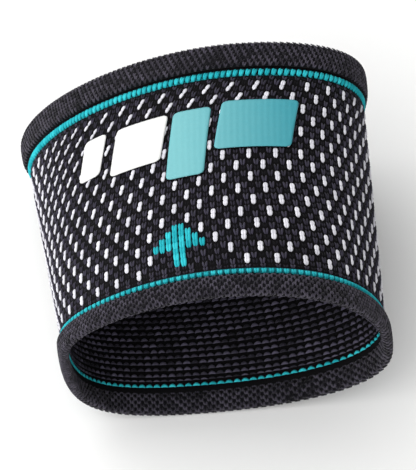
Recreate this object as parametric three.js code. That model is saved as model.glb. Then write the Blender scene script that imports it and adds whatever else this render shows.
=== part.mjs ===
// Arch support sleeve for a left foot: a knitted elastic tube with a folded hem at each end.
// Y runs along the foot to the toes, Z is up through the instep and X points to the big-toe side.
// The origin is the middle of the foot channel, halfway along the sleeve.
import * as THREE from 'three';

// Driving dimensions, in millimetres
const footWidth = 94;
const footHeight = 62;
const sleeveLength = 84.8;
const knitWall = 1.8;
const weltWall = 3.4;
const weltProud = 1.6;
const toeWeltWidth = 8.4;
const ankleWeltWidth = 7;
const toeStripeWidth = 2.5;
const ankleStripeWidth = 1.9;
const stripeProud = 0.2;
const pieceGap = 0.3;
const printThickness = 0.35;
const printCornerRadius = 1.4;
const markThickness = 0.4;
const markHeight = 13.5;
const markWidth = 14;
const markShaftWidth = 3.5;
const markBarbSlope = 0.3;
const surfaceClearance = 0.3;

// Facets of the solids
const aroundSteps = 80;
const panelSteps = 8;
const weltProfileSteps = 14;
const weltSquareness = 3.4;
const printCellWidth = 4;
const cornerSteps = 3;

// Outer outline of the knit at three stations, from the ankle edge (0) to the toe edge (1).
// lateral, medial, ridgeShift and soleShift are shares of footWidth; ridge, sole and the two
// levels are shares of footHeight; turn is the share of the girth by which the knit is turned.
const sections = [
  {
    station: 0, lateral: 0.47, medial: 0.5, ridge: 0.5, sole: 0.53,
    ridgeShift: 0.02, soleShift: -0.08, lateralLevel: 0.07, medialLevel: -0.12, turn: 0.031,
  },
  {
    station: 0.5, lateral: 0.51, medial: 0.5, ridge: 0.485, sole: 0.475,
    ridgeShift: 0.07, soleShift: -0.08, lateralLevel: -0.14, medialLevel: 0.03, turn: 0.009,
  },
  {
    station: 1, lateral: 0.55, medial: 0.5, ridge: 0.47, sole: 0.44,
    ridgeShift: 0.12, soleShift: -0.08, lateralLevel: -0.25, medialLevel: 0.15, turn: -0.03,
  },
];

// How far each quarter of the outline bulges: 0 would be a straight line, 1 a square corner
const fullness = { medialRidge: 0.61, ridgeLateral: 0.48, lateralSole: 0.78, soleMedial: 0.61 };

// Printed blocks on the instep. from and to are shares of the girth, counted from the big-toe
// side over the instep; low and high are shares of the panel's length from its ankle end;
// lean is the share of the girth by which the block's toe end moves to the big-toe side.
const prints = [
  { name: 'print_white_narrow', ink: 'white', from: 0.374, to: 0.404, low: 0.655, high: 0.86, lean: 0.01 },
  { name: 'print_white_wide', ink: 'white', from: 0.296, to: 0.36, low: 0.615, high: 0.85, lean: 0.01 },
  { name: 'print_teal_tall', ink: 'teal', from: 0.246, to: 0.29, low: 0.5, high: 0.85, lean: 0.01 },
  { name: 'print_teal_wide', ink: 'teal', from: 0.146, to: 0.234, low: 0.62, high: 0.87, lean: 0.01 },
];

// The knitted arrow that marks the toe end: its middle as shares of girth and panel length
const markPlace = { around: 0.28, along: 0.15 };

// Places along the foot
const toeEdge = sleeveLength / 2;
const ankleEdge = -sleeveLength / 2;
const toeWeltStart = toeEdge - toeWeltWidth;
const toeStripeEnd = toeWeltStart - pieceGap;
const toeStripeStart = toeStripeEnd - toeStripeWidth;
const panelEnd = toeStripeStart - pieceGap;
const ankleWeltEnd = ankleEdge + ankleWeltWidth;
const ankleStripeStart = ankleWeltEnd + pieceGap;
const ankleStripeEnd = ankleStripeStart + ankleStripeWidth;
const panelStart = ankleStripeEnd + pieceGap;
const panelLength = panelEnd - panelStart;

// Quadratic curve through the three rows of one column of the section table
function columnAt(column, station) {
  const [ankle, arch, toe] = sections.map((row) => row[column]);
  const ankleWeight = (1 - station) * (1 - 2 * station);
  const archWeight = 4 * station * (1 - station);
  const toeWeight = station * (2 * station - 1);
  return ankle * ankleWeight + arch * archWeight + toe * toeWeight;
}

// Closed outline at one station: medial side, ridge, lateral side, sole and back
function makeOutline(station) {
  const side = (column) => columnAt(column, station) * footWidth;
  const level = (column) => columnAt(column, station) * footHeight;
  const medial = new THREE.Vector2(side('medial'), level('medialLevel'));
  const ridge = new THREE.Vector2(side('ridgeShift'), level('ridge'));
  const lateral = new THREE.Vector2(-side('lateral'), level('lateralLevel'));
  const sole = new THREE.Vector2(side('soleShift'), -level('sole'));
  const outline = new THREE.CurvePath();
  outline.add(quarter(medial, ridge, fullness.medialRidge, true));
  outline.add(quarter(ridge, lateral, fullness.ridgeLateral, false));
  outline.add(quarter(lateral, sole, fullness.lateralSole, true));
  outline.add(quarter(sole, medial, fullness.soleMedial, false));
  return outline;
}

// One quarter of the outline, which leaves its first point upright or level and meets the
// second at a right angle to that
function quarter(start, end, bulge, startsUpright) {
  const rise = (end.y - start.y) * bulge;
  const run = (end.x - start.x) * bulge;
  if (startsUpright) {
    const leave = new THREE.Vector2(start.x, start.y + rise);
    return new THREE.CubicBezierCurve(start, leave, new THREE.Vector2(end.x - run, end.y), end);
  }
  const leave = new THREE.Vector2(start.x + run, start.y);
  return new THREE.CubicBezierCurve(start, leave, new THREE.Vector2(end.x, end.y - rise), end);
}

const outlines = new Map();

function outlineAt(along) {
  if (!outlines.has(along)) {
    const station = (along - ankleEdge) / sleeveLength;
    outlines.set(along, { curve: makeOutline(station), turn: columnAt('turn', station) });
  }
  return outlines.get(along);
}

// Point of the sleeve: a share of the girth along the knit, a place along the foot, and a
// lift out of the knit's outer surface
function surfacePoint(around, along, lift) {
  const { curve, turn } = outlineAt(along);
  const share = THREE.MathUtils.euclideanModulo(around + turn, 1);
  const place = curve.getPoint(share);
  const direction = curve.getTangent(share);
  return new THREE.Vector3(place.x + direction.y * lift, along, place.y - direction.x * lift);
}

function meshFrom(name, points, faces, material) {
  const geometry = new THREE.BufferGeometry();
  geometry.setAttribute('position', new THREE.Float32BufferAttribute(points.flatMap((p) => p.toArray()), 3));
  geometry.setIndex(faces.flat());
  geometry.computeVertexNormals();
  const mesh = new THREE.Mesh(geometry, material);
  mesh.name = name;
  return mesh;
}

// Closed ring swept round the foot: the profile is a loop of { along, lift } places
function ring(name, profile, material) {
  const points = [];
  const faces = [];
  const count = profile.length;
  for (let step = 0; step < aroundSteps; step += 1) {
    const next = (step + 1) % aroundSteps;
    profile.forEach(({ along, lift }, corner) => {
      const beside = (corner + 1) % count;
      points.push(surfacePoint(step / aroundSteps, along, lift));
      const a = step * count + corner;
      const b = step * count + beside;
      const c = next * count + beside;
      const d = next * count + corner;
      faces.push([a, b, c], [a, c, d]);
    });
  }
  return meshFrom(name, points, faces, material);
}

// Profile of a flat stretch of wall between two places along the foot
function wallProfile(start, end, inner, outer, steps) {
  const outside = [];
  const inside = [];
  for (let step = 0; step <= steps; step += 1) {
    const along = THREE.MathUtils.lerp(start, end, step / steps);
    outside.push({ along, lift: outer });
    inside.unshift({ along, lift: inner });
  }
  return [...outside, ...inside];
}

// Profile of a folded hem: a rounded bar, fuller than an ellipse
function weltProfile(start, end) {
  const middle = (start + end) / 2;
  const halfWidth = (end - start) / 2;
  const halfWall = weltWall / 2;
  const profile = [];
  for (let step = 0; step < weltProfileSteps; step += 1) {
    const angle = (2 * Math.PI * (step + 0.5)) / weltProfileSteps;
    const across = Math.sign(Math.cos(angle)) * Math.abs(Math.cos(angle)) ** (2 / weltSquareness);
    const through = Math.sign(Math.sin(angle)) * Math.abs(Math.sin(angle)) ** (2 / weltSquareness);
    profile.push({
      along: middle - halfWidth * across,
      lift: weltProud - halfWall + halfWall * through,
    });
  }
  return profile;
}

// Thin piece that lies on the knit. Each row has a place along the foot and its two ends
// around it, as shares of the girth.
function skinPiece(name, rows, thickness, material) {
  const points = [];
  const faces = [];
  const girth = outlineAt(0).curve.getLength();
  const widest = Math.max(...rows.map((row) => row.to - row.from)) * girth;
  const cells = Math.max(2, Math.round(widest / printCellWidth));
  const perRow = cells + 1;
  const layer = rows.length * perRow;
  for (const lift of [surfaceClearance, surfaceClearance + thickness]) {
    for (const row of rows) {
      for (let cell = 0; cell <= cells; cell += 1) {
        const around = THREE.MathUtils.lerp(row.from, row.to, cell / cells);
        points.push(surfacePoint(around, row.along, lift));
      }
    }
  }
  const quad = (a, b, c, d) => faces.push([a, b, c], [a, c, d]);
  for (let row = 0; row + 1 < rows.length; row += 1) {
    for (let cell = 0; cell < cells; cell += 1) {
      const near = row * perRow + cell;
      const far = near + perRow;
      quad(near, near + 1, far + 1, far);
      quad(layer + near, layer + far, layer + far + 1, layer + near + 1);
    }
  }
  const last = (rows.length - 1) * perRow;
  for (let cell = 0; cell < cells; cell += 1) {
    quad(cell, layer + cell, layer + cell + 1, cell + 1);
    quad(last + cell + 1, layer + last + cell + 1, layer + last + cell, last + cell);
  }
  for (let row = 0; row + 1 < rows.length; row += 1) {
    const near = row * perRow;
    const far = near + perRow;
    quad(far, layer + far, layer + near, near);
    quad(near + cells, layer + near + cells, layer + far + cells, far + cells);
  }
  return meshFrom(name, points, faces, material);
}

// Rows of a printed block with round corners
function printRows({ from, to, low, high, lean }) {
  const girth = outlineAt(0).curve.getLength();
  const start = panelStart + low * panelLength;
  const end = panelStart + high * panelLength;
  const radius = Math.min(printCornerRadius, (end - start) / 3, ((to - from) * girth) / 3);
  const rowAt = (along, inset) => {
    const shift = -lean * ((along - start) / (end - start));
    return { along, from: from + shift + inset / girth, to: to + shift - inset / girth };
  };
  const rows = [];
  for (let step = 0; step <= cornerSteps; step += 1) {
    const angle = (Math.PI / 2) * (step / cornerSteps);
    rows.push(rowAt(start + radius * (1 - Math.cos(angle)), radius * (1 - Math.sin(angle))));
  }
  rows.push(rowAt((start + end) / 2, 0));
  for (let step = cornerSteps; step >= 0; step -= 1) {
    const angle = (Math.PI / 2) * (step / cornerSteps);
    rows.push(rowAt(end - radius * (1 - Math.cos(angle)), radius * (1 - Math.sin(angle))));
  }
  return rows;
}

// Rows of the arrow: a straight shaft, two barbs and a blunt tip as wide as the shaft
function markRows() {
  const girth = outlineAt(0).curve.getLength();
  const middle = panelStart + markPlace.along * panelLength;
  const start = middle - markHeight / 2;
  const barb = middle;
  const row = (along, width) => ({
    along,
    from: markPlace.around - width / 2 / girth,
    to: markPlace.around + width / 2 / girth,
  });
  return [
    row(start, markShaftWidth),
    row(barb - markBarbSlope, markShaftWidth),
    row(barb, markWidth),
    row((barb + start + markHeight) / 2, (markWidth + markShaftWidth) / 2),
    row(start + markHeight, markShaftWidth),
  ];
}

const knitBlack = new THREE.MeshStandardMaterial({ color: '#28272d', roughness: 0.9, metalness: 0 });
const weltBlack = new THREE.MeshStandardMaterial({ color: '#35343a', roughness: 0.9, metalness: 0 });
const tealYarn = new THREE.MeshStandardMaterial({ color: '#2ba6ad', roughness: 0.8, metalness: 0 });
const whiteFilm = new THREE.MeshStandardMaterial({ color: '#f6f6f4', roughness: 0.5, metalness: 0 });
const tealFilm = new THREE.MeshStandardMaterial({ color: '#48bcc9', roughness: 0.45, metalness: 0 });

const sleeve = new THREE.Group();

const panelProfile = wallProfile(panelStart, panelEnd, -knitWall, 0, panelSteps);
sleeve.add(ring('knit_panel', panelProfile, knitBlack));

const toeStripeProfile = wallProfile(toeStripeStart, toeStripeEnd, -knitWall, stripeProud, 1);
sleeve.add(ring('toe_stripe', toeStripeProfile, tealYarn));

const ankleStripeProfile = wallProfile(ankleStripeStart, ankleStripeEnd, -knitWall, stripeProud, 1);
sleeve.add(ring('ankle_stripe', ankleStripeProfile, tealYarn));

sleeve.add(ring('toe_welt', weltProfile(toeWeltStart, toeEdge), weltBlack));
sleeve.add(ring('ankle_welt', weltProfile(ankleEdge, ankleWeltEnd), weltBlack));

for (const block of prints) {
  const film = block.ink === 'white' ? whiteFilm : tealFilm;
  sleeve.add(skinPiece(block.name, printRows(block), printThickness, film));
}
sleeve.add(skinPiece('arrow_mark', markRows(), markThickness, tealYarn));

export default sleeve;
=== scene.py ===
# Arch support sleeve for a left foot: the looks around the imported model.
# Metres, Y to the toes, Z up through the instep, X to the big-toe side.
import math

import bpy
import numpy as np
from mathutils import Matrix, Vector


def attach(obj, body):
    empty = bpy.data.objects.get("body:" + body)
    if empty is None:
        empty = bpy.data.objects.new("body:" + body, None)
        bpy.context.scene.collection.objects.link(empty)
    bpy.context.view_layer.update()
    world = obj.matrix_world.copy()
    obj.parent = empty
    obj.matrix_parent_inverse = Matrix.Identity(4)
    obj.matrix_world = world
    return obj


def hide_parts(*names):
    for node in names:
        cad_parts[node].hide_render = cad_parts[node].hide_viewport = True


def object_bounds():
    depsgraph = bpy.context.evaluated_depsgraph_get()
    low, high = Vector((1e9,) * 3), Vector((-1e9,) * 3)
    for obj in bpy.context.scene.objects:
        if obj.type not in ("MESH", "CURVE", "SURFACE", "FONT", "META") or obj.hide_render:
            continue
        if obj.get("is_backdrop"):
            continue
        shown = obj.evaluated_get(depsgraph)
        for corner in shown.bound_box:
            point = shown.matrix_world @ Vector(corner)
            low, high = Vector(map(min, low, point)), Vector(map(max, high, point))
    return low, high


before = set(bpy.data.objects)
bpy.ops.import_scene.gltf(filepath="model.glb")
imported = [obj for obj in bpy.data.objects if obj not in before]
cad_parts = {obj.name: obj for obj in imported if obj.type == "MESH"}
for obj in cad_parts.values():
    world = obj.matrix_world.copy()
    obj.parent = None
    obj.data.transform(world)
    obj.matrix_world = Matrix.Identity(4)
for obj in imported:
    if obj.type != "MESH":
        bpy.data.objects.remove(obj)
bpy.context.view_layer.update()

print("packed model loaded:", ", ".join(sorted(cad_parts)))


# The sleeve's outer surface

# Columns hold shares at the ankle edge, the arch and the toe edge: of the width for the
# side and shift columns, of the height for the upright ones, of the girth for turn.
sleeveShape = {
    "width": 0.094,
    "height": 0.062,
    "length": 0.0848,
    "lateral": (0.47, 0.51, 0.55),
    "medial": (0.5, 0.5, 0.5),
    "ridge": (0.5, 0.485, 0.47),
    "sole": (0.53, 0.475, 0.44),
    "ridgeShift": (0.02, 0.07, 0.12),
    "soleShift": (-0.08, -0.08, -0.08),
    "lateralLevel": (0.07, -0.14, -0.25),
    "medialLevel": (-0.12, 0.03, 0.15),
    "turn": (0.031, 0.009, -0.03),
}
outlineBulge = {"medialRidge": 0.61, "ridgeLateral": 0.48, "lateralSole": 0.78, "soleMedial": 0.61}
quarterSteps = 90


def columnAt(name, station):
    ankle, arch, toe = sleeveShape[name]
    ankleWeight = (1 - station) * (1 - 2 * station)
    archWeight = 4 * station * (1 - station)
    toeWeight = station * (2 * station - 1)
    return ankle * ankleWeight + arch * archWeight + toe * toeWeight


def quarter(start, end, bulge, startsUpright):
    t = np.linspace(0, 1, quarterSteps, endpoint=False)[:, None]
    reach = (end - start) * bulge
    if startsUpright:
        leave = start + np.array([0, reach[1]])
        meet = end - np.array([reach[0], 0])
    else:
        leave = start + np.array([reach[0], 0])
        meet = end - np.array([0, reach[1]])
    return ((1 - t) ** 3 * start + 3 * (1 - t) ** 2 * t * leave
            + 3 * (1 - t) * t ** 2 * meet + t ** 3 * end)


outlines = {}


def outlineAt(along):
    key = round(along, 7)
    if key in outlines:
        return outlines[key]
    station = along / sleeveShape["length"] + 0.5
    width = sleeveShape["width"]
    height = sleeveShape["height"]
    medial = np.array([columnAt("medial", station) * width, columnAt("medialLevel", station) * height])
    ridge = np.array([columnAt("ridgeShift", station) * width, columnAt("ridge", station) * height])
    lateral = np.array([columnAt("lateral", station) * -width, columnAt("lateralLevel", station) * height])
    sole = np.array([columnAt("soleShift", station) * width, columnAt("sole", station) * -height])
    loop = np.concatenate([
        quarter(medial, ridge, outlineBulge["medialRidge"], True),
        quarter(ridge, lateral, outlineBulge["ridgeLateral"], False),
        quarter(lateral, sole, outlineBulge["lateralSole"], True),
        quarter(sole, medial, outlineBulge["soleMedial"], False),
    ])
    tangent = np.roll(loop, -1, axis=0) - np.roll(loop, 1, axis=0)
    tangent /= np.linalg.norm(tangent, axis=1)[:, None]
    closed = np.vstack([loop, loop[:1]])
    reach = np.concatenate([[0], np.cumsum(np.linalg.norm(np.diff(closed, axis=0), axis=1))])
    outlines[key] = {
        "share": reach / reach[-1],
        "loop": closed,
        "tangent": np.vstack([tangent, tangent[:1]]),
        "turn": columnAt("turn", station),
        "girth": reach[-1],
    }
    return outlines[key]


# Points of the surface: shares of the girth along the turned knit, one place along the
# foot, a lift out of the knit
def surfacePoints(shares, along, lift):
    return outlinePoints(np.asarray(shares, float) + outlineAt(along)["turn"], along, lift)


def outlinePoints(shares, along, lift):
    outline = outlineAt(along)
    share = shares % 1
    x, z = (np.interp(share, outline["share"], outline["loop"][:, i]) for i in (0, 1))
    dx, dz = (np.interp(share, outline["share"], outline["tangent"][:, i]) for i in (0, 1))
    size = np.hypot(dx, dz)
    return np.stack([x + dz / size * lift, np.full_like(x, along), z - dx / size * lift], axis=1)


# The knit that lies on it

knitGauge = {
    "walesAround": 144,
    "courses": 32,
    "courseHeight": 0.00193,
    "edgeCourseHeight": 0.0011,
}

# How far the worn knit has slipped round the foot, in wales, at places along the foot.
# The wales are counted from the big-toe side over the instep and round under the sole.
# They crowd at both sides of the foot and stretch under the sole.
knitDrift = {
    "wales": (0, 6, 14, 34, 50, 62, 78, 92, 116, 134, 144),
    "along": (-0.043, -0.023, 0.002, 0.021, 0.029, 0.041),
    "slip": (
        (3.6, 1.4, -1.5, 0.5, 1.7, 0.2, -5.4, -9.0, -3.0, 4.2, 3.6),
        (3.6, 1.6, -1.5, 0.5, 1.6, 0.3, -5.4, -9.0, -3.0, 4.2, 3.6),
        (3.9, 2.0, -0.2, 0.3, -0.3, -1.9, -7.9, -11.0, -4.0, 4.2, 3.9),
        (4.0, 2.1, -0.7, 0.1, -1.4, -3.2, -9.0, -12.0, -4.5, 4.2, 4.0),
        (3.2, 1.0, -1.4, -1.1, -2.1, -4.0, -9.6, -12.3, -4.8, 3.5, 3.2),
        (2.2, -0.2, -2.8, -3.2, -3.6, -5.4, -10.8, -13.0, -5.5, 2.5, 2.2),
    ),
}
# How many times more a white dash leans than the wale it lies in, toward the ankle and toward
# the toes, and where along the foot the one changes to the other
dashLean = {
    "wales": (0, 6, 12, 20, 30, 52, 60, 74, 84, 144),
    "ankleTimes": (1.3, 1.2, 0.5, 0.8, 1.7, 1.2, 1.0, 0.8, 0.8, 1.0),
    "toeTimes": (1.3, 1.2, 0.5, 0.8, 1.7, 2.2, 3.0, 3.0, 1.2, 1.0),
    "changeStart": -0.012,
    "changeEnd": 0.012,
}


# Smooth curve through a short table, with the rows of ys blended at x
def throughTable(x, xs, ys):
    xs = np.asarray(xs, float)
    ys = np.asarray(ys, float)
    slopes = np.gradient(ys, xs, axis=0)
    i = np.clip(np.searchsorted(xs, x) - 1, 0, len(xs) - 2)
    span = xs[i + 1] - xs[i]
    t = np.clip((x - xs[i]) / span, 0, 1)
    if ys.ndim > 1:
        t = np.asarray(t)[..., None]
        span = np.asarray(span)[..., None]
    return ((2 * t ** 3 - 3 * t ** 2 + 1) * ys[i] + (t ** 3 - 2 * t ** 2 + t) * span * slopes[i]
            + (3 * t ** 2 - 2 * t ** 3) * ys[i + 1] + (t ** 3 - t ** 2) * span * slopes[i + 1])


# Where wales run on the outline, as shares of its girth
def waleShares(wales, along):
    slipHere = throughTable(along, knitDrift["along"], knitDrift["slip"])
    slip = throughTable(wales % knitGauge["walesAround"], knitDrift["wales"], slipHere)
    return (wales + slip) / knitGauge["walesAround"] + outlineAt(along)["turn"]


# Points of wales, which lean more round the middle of a dash
def knitPoints(wales, along, lift, dashMiddle=None):
    shares = waleShares(wales, along)
    if dashMiddle is not None:
        change = dashLean["changeEnd"] - dashLean["changeStart"]
        toward = min(1.0, max(0.0, (dashMiddle - dashLean["changeStart"]) / change))
        around = wales % knitGauge["walesAround"]
        ankleTimes = np.interp(around, dashLean["wales"], dashLean["ankleTimes"])
        toeTimes = np.interp(around, dashLean["wales"], dashLean["toeTimes"])
        times = ankleTimes + (toeTimes - ankleTimes) * toward
        shares = shares + (times - 1) * (shares - waleShares(wales, dashMiddle))
    return outlinePoints(shares, along, lift)


def unit(vectors):
    return vectors / np.linalg.norm(vectors, axis=1)[:, None]


# Where a row of stitches sits: middles, directions and the room each stitch has
def knitRow(wales, along, lift, dashMiddle=None):
    nudge = 0.0005
    middle = knitPoints(wales, along, lift, dashMiddle)
    above = knitPoints(wales, along + nudge, lift, dashMiddle)
    below = knitPoints(wales, along - nudge, lift, dashMiddle)
    upward = unit(above - below)
    beside = knitPoints(wales + 0.5, along, lift) - knitPoints(wales - 0.5, along, lift)
    outward = unit(np.cross(upward, beside))
    room = np.linalg.norm(np.cross(upward, beside), axis=1)
    return {"middle": middle, "upward": upward, "outward": outward, "room": room,
            "tone": np.full(len(wales), 0.5)}


# Meshes

def meshObject(name, points, faces):
    mesh = bpy.data.meshes.new(name)
    mesh.from_pydata([tuple(p) for p in points], [], faces)
    mesh.validate()
    mesh.polygons.foreach_set("use_smooth", [True] * len(mesh.polygons))
    mesh.update()
    made = bpy.data.objects.new(name, mesh)
    bpy.context.scene.collection.objects.link(made)
    return made


# Closed ring round the foot, swept from a loop of (along, lift) places
def ringObject(name, profile, steps):
    shares = np.arange(steps) / steps
    rows = [surfacePoints(shares, along, lift) for along, lift in profile]
    count = len(profile)
    points = np.concatenate(rows)
    faces = []
    for row in range(count):
        nextRow = (row + 1) % count
        for step in range(steps):
            nextStep = (step + 1) % steps
            faces.append((row * steps + step, nextRow * steps + step,
                          nextRow * steps + nextStep, row * steps + nextStep))
    return meshObject(name, points, faces)


# One stitch shape, from yarn paths of (x, y, z, radius) with a point at each end. The unit
# is a wale's width in x, a course's height in y and the yarn's relief in z. The yarn runs
# along y, or across it along x.
def yarnShape(name, paths, sides, across=False):
    points = []
    faces = []
    for path in paths:
        first = len(points)
        points.append(path[0][:3])
        for x, y, z, radius in path[1:-1]:
            for side in range(sides):
                angle = 2 * math.pi * (side + 0.5) / sides
                beside = radius * math.cos(angle)
                above = 2 * radius * math.sin(angle)
                points.append((x, y - beside, z + above) if across else (x + beside, y, z + above))
        points.append(path[-1][:3])
        rings = len(path) - 2
        last = len(points) - 1
        for side in range(sides):
            beside = (side + 1) % sides
            faces.append((first, first + 1 + side, first + 1 + beside))
            for ring in range(rings - 1):
                a = first + 1 + ring * sides
                faces.append((a + side, a + sides + side, a + sides + beside, a + beside))
            end = first + 1 + (rings - 1) * sides
            faces.append((end + side, last, end + beside))
    return meshObject(name, points, faces)


# One leg of a knit stitch, from low to high beside the wale's middle, bowed out between.
# Its ends lie at the given depth, and its middle rises above them.
def legPath(low, high, bow, fatness, length=1.32, depth=-0.9, rise=0.42, rings=3):
    path = []
    for ring in range(rings + 2):
        t = ring / (rings + 1)
        swell = math.sin(math.pi * t)
        x = low + (high - low) * t + bow * math.sqrt(swell)
        path.append((x, length * (t - 0.5), depth + rise * swell, fatness * math.sqrt(swell)))
    return path


# Both legs of a ground stitch, a V that opens to the toes
def groundPaths():
    return [legPath(side * 0.1, side * 0.3, 0.0, 0.18) for side in (-1, 1)]


# A stitch of a dash, drawn narrow and closed by its pull
def dashPaths():
    return [legPath(side * 0.05, side * 0.05, side * 0.1, 0.25, 1.16, -0.7, 0.2, 4) for side in (-1, 1)]


# A stitch of the arrow, full enough to cover the ground
def fullPaths():
    legs = [legPath(side * 0.14, side * 0.24, 0.0, 0.25, 1.7, -0.75, 0.25, 5) for side in (-1, 1)]
    return legs + [legPath(0.0, 0.0, 0.0, 0.37, 1.7, -1.25, 0.3)]


# A stitch of a hem, tight and a little narrow, so that its rim is finely scalloped
def weltPaths():
    return [legPath(side * 0.08, side * 0.24, 0.0, 0.19) for side in (-1, 1)]


# The back of a stitch, a low arc that lies across the wale
def purlPath():
    path = []
    for ring in range(6):
        t = ring / 5
        swell = math.sin(math.pi * t)
        path.append((-0.52 + 1.04 * t, 0.22 * swell - 0.1, -0.8 + 0.4 * swell, 0.28 * swell ** 0.6))
    return path


# A stitch of a stripe, a long V whose legs lie close together
def stripePaths(fatness):
    return [legPath(side * 0.1, side * 0.2, 0.0, fatness, 1.0, -0.7, 0.3, 4) for side in (-1, 1)]


# Nodes

def addNode(tree, kind, inputs=None, **settings):
    node = tree.nodes.new(kind)
    for name, value in settings.items():
        setattr(node, name, value)
    for name, value in (inputs or {}).items():
        socket = node.inputs[name]
        if isinstance(value, bpy.types.NodeSocket):
            tree.links.new(value, socket)
        else:
            socket.default_value = value
    return node


# Geometry Nodes tree that sets one stitch on every point, turned by the point's directions
def stitchTree():
    tree = bpy.data.node_groups.new("Set stitches", "GeometryNodeTree")
    face = tree.interface
    face.new_socket("Geometry", in_out="INPUT", socket_type="NodeSocketGeometry")
    face.new_socket("Stitch shape", in_out="INPUT", socket_type="NodeSocketObject")
    face.new_socket("Unevenness", in_out="INPUT", socket_type="NodeSocketFloat")
    face.new_socket("Seed", in_out="INPUT", socket_type="NodeSocketInt")
    face.new_socket("Yarn", in_out="INPUT", socket_type="NodeSocketMaterial")
    face.new_socket("Geometry", in_out="OUTPUT", socket_type="NodeSocketGeometry")
    given = addNode(tree, "NodeGroupInput")
    shape = addNode(tree, "GeometryNodeObjectInfo", {"Object": given.outputs["Stitch shape"]})
    outward = addNode(tree, "GeometryNodeInputNamedAttribute", {"Name": "outward"}, data_type="FLOAT_VECTOR")
    upward = addNode(tree, "GeometryNodeInputNamedAttribute", {"Name": "upward"}, data_type="FLOAT_VECTOR")
    size = addNode(tree, "GeometryNodeInputNamedAttribute", {"Name": "stitchSize"}, data_type="FLOAT_VECTOR")
    turned = addNode(
        tree, "FunctionNodeAxesToRotation",
        {"Primary Axis": outward.outputs[0], "Secondary Axis": upward.outputs[0]},
        primary_axis="Z", secondary_axis="Y",
    )
    least = addNode(tree, "ShaderNodeMath", {0: 1.0, 1: given.outputs["Unevenness"]}, operation="SUBTRACT")
    most = addNode(tree, "ShaderNodeMath", {0: 1.0, 1: given.outputs["Unevenness"]}, operation="ADD")
    wobble = addNode(
        tree, "FunctionNodeRandomValue",
        {0: least.outputs[0], 1: most.outputs[0], "Seed": given.outputs["Seed"]},
        data_type="FLOAT_VECTOR",
    )
    scaled = addNode(
        tree, "ShaderNodeVectorMath", {0: size.outputs[0], 1: wobble.outputs[0]}, operation="MULTIPLY",
    )
    placed = addNode(
        tree, "GeometryNodeInstanceOnPoints",
        {
            "Points": given.outputs["Geometry"],
            "Instance": shape.outputs["Geometry"],
            "Rotation": turned.outputs[0],
            "Scale": scaled.outputs[0],
        },
    )
    # A stitch's shade is a random value plus its tuck value, which paints shade on the tucked ground
    # stitches
    shadeSeed = addNode(tree, "ShaderNodeMath", {0: given.outputs["Seed"], 1: 7.0}, operation="ADD")
    chance = addNode(tree, "FunctionNodeRandomValue", {"Seed": shadeSeed.outputs[0]}, data_type="FLOAT")
    tone = addNode(tree, "GeometryNodeInputNamedAttribute", {"Name": "tone"}, data_type="FLOAT")
    shade = addNode(tree, "ShaderNodeMath", {0: chance.outputs[1], 1: tone.outputs[0]}, operation="ADD")
    shaded = addNode(
        tree, "GeometryNodeStoreNamedAttribute",
        {"Geometry": placed.outputs[0], "Name": "yarnShade", "Value": shade.outputs[0]},
        data_type="FLOAT", domain="INSTANCE",
    )
    real = addNode(tree, "GeometryNodeRealizeInstances", {"Geometry": shaded.outputs[0]})
    dyed = addNode(
        tree, "GeometryNodeSetMaterial",
        {"Geometry": real.outputs[0], "Material": given.outputs["Yarn"]},
    )
    addNode(tree, "NodeGroupOutput", {"Geometry": dyed.outputs[0]})
    return tree


setStitches = stitchTree()


def socketName(tree, label):
    return next(item.identifier for item in tree.interface.items_tree
                if item.name == label and item.in_out == "INPUT")


# Plain mesh of one stitch shape on every place of the given rows
def stitched(name, rows, shape, yarn, unevenness, seed):
    places = meshObject(name, np.concatenate([row["middle"] for row in rows]), [])
    for label, key in (("outward", "outward"), ("upward", "upward"), ("stitchSize", "size")):
        values = np.concatenate([row[key] for row in rows]).astype(np.float32)
        directions = places.data.attributes.new(label, "FLOAT_VECTOR", "POINT")
        directions.data.foreach_set("vector", values.ravel())
    # Tuck values: 0 paints shade on a tucked ground stitch, 1 leaves a proud one light, 0.5 on all other
    # stitches
    tuckShades = places.data.attributes.new("tone", "FLOAT", "POINT")
    tuckShades.data.foreach_set("value", np.concatenate([row["tone"] for row in rows]).astype(np.float32))
    modifier = places.modifiers.new("Stitches", "NODES")
    modifier.node_group = setStitches
    modifier[socketName(setStitches, "Stitch shape")] = shape
    modifier[socketName(setStitches, "Unevenness")] = unevenness
    modifier[socketName(setStitches, "Seed")] = seed
    modifier[socketName(setStitches, "Yarn")] = yarn
    settled = places.evaluated_get(bpy.context.evaluated_depsgraph_get())
    mesh = bpy.data.meshes.new_from_object(settled)
    places.modifiers.clear()
    places.data = mesh
    mesh.name = name
    print(f"{name}: {len(mesh.polygons)} faces")
    return places


# Colours and materials

def hexColour(code):
    channels = [int(code[i:i + 2], 16) / 255 for i in (1, 3, 5)]
    return [c / 12.92 if c <= 0.04045 else ((c + 0.055) / 1.055) ** 2.4 for c in channels] + [1.0]


def perMetre(millimetres):
    return 1000.0 / millimetres


# Where the print's colour is pale and where it is deep, across the foot. The pale side is a painted
# highlight, the glare of the light from the left.
paintedGlare = {"pale": -0.008, "deep": 0.03}


def newMaterial(name):
    material = bpy.data.materials.new(name)
    material.use_nodes = True
    material.node_tree.nodes.clear()
    return material
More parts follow.
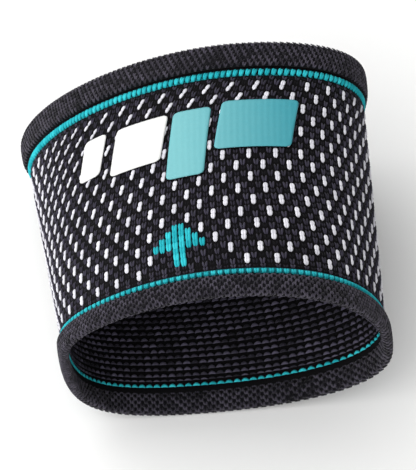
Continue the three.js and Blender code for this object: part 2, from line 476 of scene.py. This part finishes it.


# Textured nylon yarn: matt, with a soft sheen at its edges and a fuzz of fine filaments.
# Each stitch takes its own shade between the two colours: a random one, darkened by painted shade on the
# tucked ground stitches.
def yarnMaterial(name, dark, light, roughness, sheen, fuzz):
    material = newMaterial(name)
    tree = material.node_tree
    coordinates = addNode(tree, "ShaderNodeTexCoord")
    toneAndTuckShade = addNode(tree, "ShaderNodeAttribute", attribute_name="yarnShade")
    patches = addNode(
        tree, "ShaderNodeTexNoise",
        {"Vector": coordinates.outputs["Object"], "Scale": perMetre(9.0), "Detail": 2.0},
    )
    filaments = addNode(
        tree, "ShaderNodeTexNoise",
        {"Vector": coordinates.outputs["Object"], "Scale": perMetre(0.35), "Detail": 3.0},
    )
    mixed = addNode(
        tree, "ShaderNodeMath", {0: toneAndTuckShade.outputs["Fac"], 1: patches.outputs["Fac"]}, operation="ADD",
    )
    deep = addNode(
        tree, "ShaderNodeMath", {0: mixed.outputs[0], 1: filaments.outputs["Fac"]}, operation="ADD",
    )
    share = addNode(
        tree, "ShaderNodeMapRange", {"Value": deep.outputs[0], "From Min": 1.4, "From Max": 2.6},
    )
    colour = addNode(
        tree, "ShaderNodeMix",
        {0: share.outputs[0], 6: hexColour(dark), 7: hexColour(light)}, data_type="RGBA",
    )
    relief = addNode(
        tree, "ShaderNodeBump",
        {"Height": filaments.outputs["Fac"], "Strength": fuzz, "Distance": 0.00015},
    )
    surface = addNode(
        tree, "ShaderNodeBsdfPrincipled",
        {
            "Base Color": colour.outputs[2],
            "Roughness": roughness,
            "IOR": 1.53,
            "Specular IOR Level": 0.1,
            "Sheen Weight": sheen,
            "Sheen Roughness": 0.4,
            "Normal": relief.outputs[0],
        },
    )
    addNode(tree, "ShaderNodeOutputMaterial", {"Surface": surface.outputs[0]})
    return material


# Heat-pressed polyurethane film: smooth and satin, with the knit just felt through it.
# Its colour fades from the pale colour to the deep one toward the big-toe side: the pale side is a painted
# highlight, the glare of the light from the left on the film.
def filmMaterial(name, pale, deep):
    material = newMaterial(name)
    tree = material.node_tree
    coordinates = addNode(tree, "ShaderNodeTexCoord")
    place = addNode(tree, "ShaderNodeSeparateXYZ", {"Vector": coordinates.outputs["Object"]})
    patches = addNode(
        tree, "ShaderNodeTexNoise",
        {"Vector": coordinates.outputs["Object"], "Scale": perMetre(2.2), "Detail": 4.0, "Roughness": 0.6},
    )
    grain = addNode(
        tree, "ShaderNodeTexNoise",
        {"Vector": coordinates.outputs["Object"], "Scale": perMetre(0.5), "Detail": 2.0},
    )
    # Painted highlight: paler toward the lit side on the left
    across = addNode(
        tree, "ShaderNodeMapRange",
        {"Value": place.outputs["X"], "From Min": paintedGlare["pale"], "From Max": paintedGlare["deep"]},
    )
    uneven = addNode(
        tree, "ShaderNodeMapRange", {"Value": patches.outputs["Fac"], "To Min": -0.12, "To Max": 0.12},
    )
    share = addNode(
        tree, "ShaderNodeMath", {0: across.outputs[0], 1: uneven.outputs[0]},
        operation="ADD", use_clamp=True,
    )
    colour = addNode(
        tree, "ShaderNodeMix",
        {0: share.outputs[0], 6: hexColour(pale), 7: hexColour(deep)}, data_type="RGBA",
    )
    gloss = addNode(
        tree, "ShaderNodeMapRange", {"Value": grain.outputs["Fac"], "To Min": 0.42, "To Max": 0.58},
    )
    relief = addNode(
        tree, "ShaderNodeBump", {"Height": grain.outputs["Fac"], "Strength": 0.25, "Distance": 0.0001},
    )
    surface = addNode(
        tree, "ShaderNodeBsdfPrincipled",
        {
            "Base Color": colour.outputs[2],
            "Roughness": gloss.outputs[0],
            "IOR": 1.5,
            "Normal": relief.outputs[0],
        },
    )
    addNode(tree, "ShaderNodeOutputMaterial", {"Surface": surface.outputs[0]})
    return material


blackNylon = yarnMaterial("Textured nylon yarn, black", "#09080d", "#3b3846", 0.78, 0.12, 0.5)
# Painted shade: the shell under the stitches is darker than the yarn on it, so the gaps between stitches
# read as shade
gapShadeNylon = yarnMaterial("Textured nylon yarn, black, painted shade between stitches", "#060507", "#1d1b21", 0.85, 0.02, 0.5)
# Painted light: the inside's yarn is lighter than the same black yarn outside, so its texture shows where
# little light reaches
litPurlNylon = yarnMaterial("Textured nylon yarn, black, painted light inside", "#1a191f", "#565263", 0.8, 0.04, 0.5)
weltNylon = yarnMaterial("Covered elastic yarn, charcoal", "#0f0e13", "#4a4652", 0.8, 0.14, 0.4)
whiteNylon = yarnMaterial("Textured nylon yarn, white", "#c9c8d0", "#e4e3ea", 0.7, 0.05, 0.3)
tealNylon = yarnMaterial("Textured nylon yarn, teal", "#169ca7", "#34c2cc", 0.62, 0.05, 0.3)
# Painted shade: a darker teal for the band under a stripe's stitches, seen in the gaps between them
shadedTealNylon = yarnMaterial("Textured nylon yarn, teal, painted shade", "#0d6972", "#148a94", 0.7, 0.03, 0.3)
# Both films turn pale toward the lit side: painted highlight
whiteFilm = filmMaterial("Heat-pressed film, white", "#dededc", "#d6d6d5")
tealFilm = filmMaterial("Heat-pressed film, teal", "#68afb4", "#2b96a5")
print("materials made")


# Knit panel

# The panel's ends run on under the stripes into the hems, where they are linked on
knitPanel = {
    "start": -0.0329,
    "end": 0.0309,
    "shellStart": -0.0372,
    "shellEnd": 0.0358,
    "outerLift": -0.00045,
    "innerLift": -0.0013,
    "purlLift": -0.0017,
    "shellSteps": 288,
    "shellRows": 34,
    "relief": 0.00062,
    "whiteRelief": 0.00074,
    "purlRelief": 0.0005,
    "flatWidth": 0.2,
    "flatLength": 0.073,
}
# Wales that stay plain round the arrow, for each pair of courses from the ankle end
plainWales = {0: (34, 38, 42), 1: (36, 40), 2: (38, 42), 3: (40,)}
# The arrow, one letter for a stitch, toe end first
arrowChart = (
    "...##...",
    "..####..",
    ".######.",
    "########",
    "...##...",
    "...##...",
    "...##...",
)
arrowPlace = {"wale": 36, "course": 1}
dashRepeat = 4
# How far the two stitches of a dash draw together: 1 would set both on the dash's middle
dashPull = 0.34
# How much lower every other ground stitch lies, tucked behind its neighbours, and how far
# the coloured stitches stand out
tuckDepth = 0.00024
whiteLift = 0.00003


def wallProfile(start, end, inner, outer, rows):
    outside = [(along, outer) for along in np.linspace(start, end, rows + 1)]
    inside = [(along, inner) for along in np.linspace(end, start, rows + 1)]
    return outside + inside


def isArrow(wale, course):
    across = wale - arrowPlace["wale"]
    up = course - arrowPlace["course"]
    if not (0 <= across < len(arrowChart[0]) and 0 <= up < len(arrowChart)):
        return False
    return arrowChart[len(arrowChart) - 1 - up][across] == "#"


def isDash(wale, course):
    pair = course // 2
    if wale in plainWales.get(pair, ()):
        return False
    return wale % dashRepeat == (dashRepeat // 2 if pair % 2 == 0 else 0)


# The middle and height of each course between the stripes, the two edge courses included
def courseList():
    height = knitGauge["courseHeight"]
    middle = (knitPanel["start"] + knitPanel["end"]) / 2
    lowest = middle - (knitGauge["courses"] - 1) / 2 * height
    courses = [(course, lowest + course * height, height) for course in range(knitGauge["courses"])]
    edge = knitGauge["courses"] / 2 * height + knitGauge["edgeCourseHeight"] / 2
    return courses + [(None, middle + side * edge, knitGauge["edgeCourseHeight"]) for side in (-1, 1)]


def stitchRow(wales, along, height, relief, lift, dashMiddle=None):
    row = knitRow(np.asarray(wales, float), along, lift, dashMiddle)
    row["size"] = np.stack([row["room"], np.full(len(wales), height), np.full(len(wales), relief)], axis=1)
    return row


def knitRows():
    sets = {"instep": [], "sole": [], "white": [], "arrow": [], "purl": []}
    half = knitGauge["walesAround"] // 2
    for course, along, height in courseList():
        groups = {"instep": [], "sole": [], "white": [], "arrow": []}
        for wale in range(knitGauge["walesAround"]):
            if course is not None and isArrow(wale, course):
                groups["arrow"].append(wale)
            elif course is not None and isDash(wale, course):
                groups["white"].append(wale)
            else:
                groups["instep" if wale < half else "sole"].append(wale)
        for label in ("instep", "sole"):
            for parity in (0, 1):
                wales = [wale for wale in groups[label] if (wale + (course or 0)) % 2 == parity]
                row = stitchRow(wales, along, height, knitPanel["relief"], -tuckDepth * parity)
                # Painted shade: the tucked stitches, which lie deeper behind their neighbours, take darker
                # yarn
                row["tone"][:] = 1 - parity
                sets[label].append(row)
        if groups["white"]:
            toMiddle = height / 2 * (1 if course % 2 == 0 else -1)
            sets["white"].append(stitchRow(groups["white"], along + dashPull * toMiddle, height,
                                           knitPanel["whiteRelief"], whiteLift, along + toMiddle))
        if groups["arrow"]:
            sets["arrow"].append(stitchRow(groups["arrow"], along, height,
                                           knitPanel["whiteRelief"], whiteLift))
        inner = stitchRow(range(knitGauge["walesAround"]), along, height, knitPanel["purlRelief"],
                          knitPanel["purlLift"])
        inner["outward"] = -inner["outward"]
        sets["purl"].append(inner)
    return sets


def buildKnit():
    shell = ringObject(
        "knitPanel",
        wallProfile(knitPanel["shellStart"], knitPanel["shellEnd"], knitPanel["innerLift"],
                    knitPanel["outerLift"], knitPanel["shellRows"]),
        knitPanel["shellSteps"],
    )
    # The shell's darker yarn is painted shade in the gaps between the stitches
    shell.data.materials.append(gapShadeNylon)
    groundShape = yarnShape("groundShape", groundPaths(), 5)
    dashShape = yarnShape("dashShape", dashPaths(), 6)
    fullShape = yarnShape("fullShape", fullPaths(), 6)
    purlShape = yarnShape("purlShape", [purlPath()], 5, across=True)
    sets = knitRows()
    pieces = {
        "instepKnit": stitched("instepKnit", sets["instep"], groundShape, blackNylon, 0.07, 3),
        "soleKnit": stitched("soleKnit", sets["sole"], groundShape, blackNylon, 0.07, 4),
        "whiteDashes": stitched("whiteDashes", sets["white"], dashShape, whiteNylon, 0.05, 5),
        "arrowStitches": stitched("arrowStitches", sets["arrow"], fullShape, tealNylon, 0.04, 6),
        # The inside's stitches take the lighter yarn, painted light
        "purlInside": stitched("purlInside", sets["purl"], purlShape, litPurlNylon, 0.07, 7),
    }
    for shape in (groundShape, dashShape, fullShape, purlShape):
        bpy.data.objects.remove(shape)
    return shell, pieces


# Stripes

stripes = {
    "toe": {
        "node": "toe_stripe", "start": 0.0312, "end": 0.0337, "stitchHeight": 0.0027,
        "legFatness": 0.29, "relief": 0.0011, "lift": 0.0002,
    },
    "ankle": {
        "node": "ankle_stripe", "start": -0.0351, "end": -0.0332, "stitchHeight": 0.0019,
        "legFatness": 0.23, "relief": 0.0011, "lift": 0.0002,
    },
}


# A teal course: a band within it, its stitches outside and their low backs inside. The band's darker teal is
# painted shade in the gaps between the stitches.
def buildStripe(label, seed):
    stripe = stripes[label]
    band = ringObject(
        label + "StripeBand",
        wallProfile(stripe["start"], stripe["end"], knitPanel["innerLift"] + 0.0002,
                    knitPanel["outerLift"], 2),
        knitPanel["shellSteps"],
    )
    band.data.materials.append(shadedTealNylon)
    outsideShape = yarnShape(label + "OutsideShape", stripePaths(stripe["legFatness"]), 6)
    insideShape = yarnShape(label + "InsideShape", [purlPath()], 5, across=True)
    middle = (stripe["start"] + stripe["end"]) / 2
    wales = range(knitGauge["walesAround"])
    outside = stitchRow(wales, middle, stripe["stitchHeight"], stripe["relief"], stripe["lift"])
    inside = stitchRow(wales, middle, stripe["stitchHeight"], knitPanel["purlRelief"], knitPanel["purlLift"])
    inside["outward"] = -inside["outward"]
    face = stitched(label + "StripeOutside", [outside], outsideShape, tealNylon, 0.04, seed)
    back = stitched(label + "StripeInside", [inside], insideShape, tealNylon, 0.07, seed + 1)
    for shape in (outsideShape, insideShape):
        bpy.data.objects.remove(shape)
    return band, face, back


# Folded hems

welts = {
    "toe": {"node": "toe_welt", "panelSide": 0.034, "freeEdge": 0.0424, "seed": 21},
    "ankle": {"node": "ankle_welt", "panelSide": -0.0354, "freeEdge": -0.0424, "seed": 22},
}
# The hem's own stitches are too fine to count, so they are drawn at the panel's wales
weltForm = {
    "wall": 0.0034,
    "proud": 0.0016,
    "squareness": 3.4,
    "profileSteps": 40,
    "relief": 0.0005,
    "coursePitch": 0.0011,
    "shellSteps": 288,
}


# Place on the hem's rounded section: 0 is the middle of the panel side, and it runs over
# the outer face to the free edge and back along the inner face
def weltSection(welt, angle, inset):
    middle = (welt["panelSide"] + welt["freeEdge"]) / 2
    halfWidth = (welt["freeEdge"] - welt["panelSide"]) / 2
    direction = math.copysign(1.0, halfWidth)
    halfWidth = abs(halfWidth) - inset
    halfWall = weltForm["wall"] / 2 - inset
    power = 2 / weltForm["squareness"]
    c = -math.cos(angle)
    s = math.sin(angle)
    across = math.copysign(abs(c) ** power, c) * halfWidth * direction
    through = math.copysign(abs(s) ** power, s) * halfWall
    return middle + across, weltForm["proud"] - weltForm["wall"] / 2 + through


def weltCourses(welt):
    samples = [weltSection(welt, angle, weltForm["relief"] * 0.1)
               for angle in np.linspace(0.25, 2 * math.pi - 0.25, 721)]
    samples = np.array(samples)
    reach = np.concatenate([[0], np.cumsum(np.linalg.norm(np.diff(samples, axis=0), axis=1))])
    count = round(reach[-1] / weltForm["coursePitch"])
    pitch = reach[-1] / count
    middles = (np.arange(count) + 0.5) * pitch
    along, lift = (np.interp(middles, reach, samples[:, i]) for i in (0, 1))
    nextAlong, nextLift = (np.interp(middles + pitch / 4, reach, samples[:, i]) for i in (0, 1))
    lastAlong, lastLift = (np.interp(middles - pitch / 4, reach, samples[:, i]) for i in (0, 1))
    return [
        {"along": a, "lift": b, "step": (c, d), "pitch": pitch}
        for a, b, c, d in zip(along, lift, nextAlong - lastAlong, nextLift - lastLift)
    ]


def buildWelt(label):
    welt = welts[label]
    angles = 2 * math.pi * np.arange(weltForm["profileSteps"]) / weltForm["profileSteps"]
    profile = [weltSection(welt, angle, weltForm["relief"] * 0.95) for angle in angles]
    if welt["freeEdge"] < welt["panelSide"]:
        profile.reverse()
    shell = ringObject(label + "Welt", profile, weltForm["shellSteps"])
    shell.data.materials.append(weltNylon)
    shape = yarnShape(label + "WeltShape", weltPaths(), 4)
    wales = np.arange(knitGauge["walesAround"])
    side = math.copysign(1.0, welt["freeEdge"] - welt["panelSide"])
    rows = []
    for number, course in enumerate(weltCourses(welt)):
        row = knitRow(wales + 0.5 * (number % 2), course["along"], course["lift"])
        alongStep, liftStep = np.array(course["step"]) / math.hypot(*course["step"])
        upward = row["upward"] * alongStep + row["outward"] * liftStep
        outward = side * (row["outward"] * alongStep - row["upward"] * liftStep)
        count = len(wales)
        rows.append({
            "middle": row["middle"],
            "upward": upward,
            "outward": outward,
            "tone": row["tone"],
            "size": np.stack([row["room"], np.full(count, course["pitch"]),
                              np.full(count, weltForm["relief"])], axis=1),
        })
    stitches = stitched(label + "WeltKnit", rows, shape, weltNylon, 0.06, welt["seed"])
    bpy.data.objects.remove(shape)
    return shell, stitches


# Printed film

prints = (
    {"name": "printWhiteNarrow", "node": "print_white_narrow", "from": 0.374, "to": 0.404,
     "low": 0.655, "high": 0.86, "lean": 0.01, "film": whiteFilm, "slot": "white_print"},
    {"name": "printWhiteWide", "node": "print_white_wide", "from": 0.296, "to": 0.36,
     "low": 0.615, "high": 0.85, "lean": 0.01, "film": whiteFilm, "slot": "white_print"},
    {"name": "printTealTall", "node": "print_teal_tall", "from": 0.246, "to": 0.29,
     "low": 0.5, "high": 0.85, "lean": 0.01, "film": tealFilm, "slot": "teal_print"},
    {"name": "printTealWide", "node": "print_teal_wide", "from": 0.146, "to": 0.234,
     "low": 0.62, "high": 0.87, "lean": 0.01, "film": tealFilm, "slot": "teal_print"},
)
filmForm = {
    "cell": 0.0004,
    "cornerRadius": 0.0014,
    "bottom": 0.0001,
    "thickness": 0.00032,
    "ripple": 0.00005,
}


def filmRow(block, along, start, end, girth):
    radius = filmForm["cornerRadius"]
    nearEdge = min(along - start, end - along)
    inset = 0.0
    if nearEdge < radius:
        inset = radius - math.sqrt(max(0.0, radius ** 2 - (radius - nearEdge) ** 2))
    shift = -block["lean"] * (along - start) / (end - start)
    return block["from"] + shift + inset / girth, block["to"] + shift - inset / girth


def buildPrint(block):
    panelLength = knitPanel["end"] - knitPanel["start"]
    start = knitPanel["start"] + block["low"] * panelLength
    end = knitPanel["start"] + block["high"] * panelLength
    girth = outlineAt(0.0)["girth"]
    rows = max(8, round((end - start) / filmForm["cell"]))
    cells = max(8, round((block["to"] - block["from"]) * girth / filmForm["cell"]))
    top = []
    bottom = []
    for row in range(rows + 1):
        along = start + (end - start) * row / rows
        low, high = filmRow(block, along, start, end, girth)
        shares = np.linspace(low, high, cells + 1)
        wales = shares * knitGauge["walesAround"]
        wave = (np.cos(2 * math.pi * wales) + math.cos(2 * math.pi * along / knitGauge["courseHeight"])) / 2
        edge = np.minimum(np.arange(cells + 1), np.arange(cells, -1, -1))
        edge = np.minimum(edge, min(row, rows - row))
        rounding = np.where(edge == 0, 0.5, 0.0) * filmForm["thickness"]
        lift = filmForm["bottom"] + filmForm["thickness"] + filmForm["ripple"] * wave - rounding
        flat = surfacePoints(shares, along, 0.0)
        raised = surfacePoints(shares, along, 0.001)
        top.append(flat + (raised - flat) * (lift / 0.001)[:, None])
        bottom.append(surfacePoints(shares, along, filmForm["bottom"]))
    points = np.concatenate(top + bottom)
    width = cells + 1
    layer = (rows + 1) * width
    faces = []
    for row in range(rows):
        for cell in range(cells):
            a = row * width + cell
            faces.append((a, a + width, a + width + 1, a + 1))
            faces.append((layer + a, layer + a + 1, layer + a + width + 1, layer + a + width))
    for cell in range(cells):
        last = rows * width + cell
        faces.append((cell, cell + 1, layer + cell + 1, layer + cell))
        faces.append((last + 1, last, layer + last, layer + last + 1))
    for row in range(rows):
        a = row * width
        b = a + cells
        faces.append((a + width, a, layer + a, layer + a + width))
        faces.append((b, b + width, layer + b + width, layer + b))
    film = meshObject(block["name"], points, faces)
    film.data.materials.append(block["film"])
    return film


# Making

panelShell, knitPieces = buildKnit()
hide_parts("knit_panel")
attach(panelShell, "root")
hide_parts("arrow_mark")
for name, piece in knitPieces.items():
    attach(piece, "root")
print("knit panel made")

trim = list(knitPieces.values())
for label, seed in (("toe", 11), ("ankle", 13)):
    band, face, back = buildStripe(label, seed)
    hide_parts(stripes[label]["node"])
    for piece in (band, face, back):
        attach(piece, "root")
        trim.append(piece)
print("stripes made")

for label in ("toe", "ankle"):
    shell, stitches = buildWelt(label)
    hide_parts(welts[label]["node"])
    for piece in (shell, stitches):
        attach(piece, "root")
        trim.append(piece)
print("hems made")

for block in prints:
    film = buildPrint(block)
    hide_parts(block["node"])
    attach(film, "root")
    trim.append(film)
print("print made")


# Floor, light and camera

studio = {
    "azimuth": -4.0,
    "elevation": 58.0,
    "roll": -0.5,
    "distance": 1.1,
    "target": (-0.001, -0.0029, 0.0),
    "pixelSize": 0.000285,
    "imageWidth": 416,
    "sensorWidth": 36.0,
    "floorSize": 6.0,
    "floorColour": "#fbfbfa",
    "worldColour": "#ffffff",
    "worldLeft": 1.05,
    "worldRight": 0.15,
    "dimFrom": -0.2,
}
lamps = (
    {"name": "keyLight", "from": (-1.4, -0.3, 1.2), "size": 2.0, "watts": 17.0},
    {"name": "frontLight", "from": (-0.5, -1.25, 0.55), "size": 1.2, "watts": 5.0},
    {"name": "backLight", "from": (-0.6, 0.85, 1.05), "size": 0.9, "watts": 4.0},
)


def buildFloor():
    low = min(corner[2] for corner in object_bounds())
    half = studio["floorSize"] / 2
    corners = [(-half, -half, low), (half, -half, low), (half, half, low), (-half, half, low)]
    floor = meshObject("floor", corners, [(0, 1, 2, 3)])
    material = newMaterial("Matt paper, white")
    surface = addNode(
        material.node_tree, "ShaderNodeBsdfPrincipled",
        {"Base Color": hexColour(studio["floorColour"]), "Roughness": 0.9},
    )
    addNode(material.node_tree, "ShaderNodeOutputMaterial", {"Surface": surface.outputs[0]})
    floor.data.materials.append(material)
    floor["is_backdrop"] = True


def buildLights():
    for lamp in lamps:
        light = bpy.data.lights.new(lamp["name"], "AREA")
        light.size = lamp["size"]
        light.energy = lamp["watts"]
        holder = bpy.data.objects.new(lamp["name"], light)
        holder.location = lamp["from"]
        holder.rotation_euler = (-Vector(lamp["from"])).to_track_quat("-Z", "Y").to_euler()
        bpy.context.scene.collection.objects.link(holder)
    # White surroundings that dim from the left to the right
    world = bpy.data.worlds.new("Studio")
    world.use_nodes = True
    tree = world.node_tree
    sky = addNode(tree, "ShaderNodeTexCoord")
    side = addNode(tree, "ShaderNodeSeparateXYZ", {"Vector": sky.outputs["Generated"]})
    strength = addNode(
        tree, "ShaderNodeMapRange",
        {
            "Value": side.outputs["X"],
            "From Min": studio["dimFrom"],
            "To Min": studio["worldLeft"],
            "To Max": studio["worldRight"],
        },
    )
    background = tree.nodes["Background"]
    background.inputs["Color"].default_value = hexColour(studio["worldColour"])
    tree.links.new(strength.outputs[0], background.inputs["Strength"])
    bpy.context.scene.world = world
    bpy.context.scene.view_settings.view_transform = "Standard"


def buildCamera():
    azimuth, elevation, roll = (math.radians(studio[k]) for k in ("azimuth", "elevation", "roll"))
    back = Vector((math.sin(azimuth) * math.cos(elevation),
                   -math.cos(azimuth) * math.cos(elevation), math.sin(elevation)))
    right = Vector((math.cos(azimuth), math.sin(azimuth), 0.0))
    up = back.cross(right)
    turned = Matrix((right, up, back)).transposed() @ Matrix.Rotation(roll, 3, "Z")
    data = bpy.data.cameras.new("camera")
    data.sensor_fit = "HORIZONTAL"
    data.sensor_width = studio["sensorWidth"]
    viewWidth = studio["imageWidth"] * studio["pixelSize"]
    data.lens = studio["sensorWidth"] * studio["distance"] / viewWidth
    camera = bpy.data.objects.new("camera", data)
    place = Vector(studio["target"]) + back * studio["distance"]
    camera.matrix_world = Matrix.Translation(place) @ turned.to_4x4()
    bpy.context.scene.collection.objects.link(camera)
    bpy.context.scene.camera = camera


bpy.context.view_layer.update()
buildFloor()
buildLights()
buildCamera()
print("floor, lights and camera made")
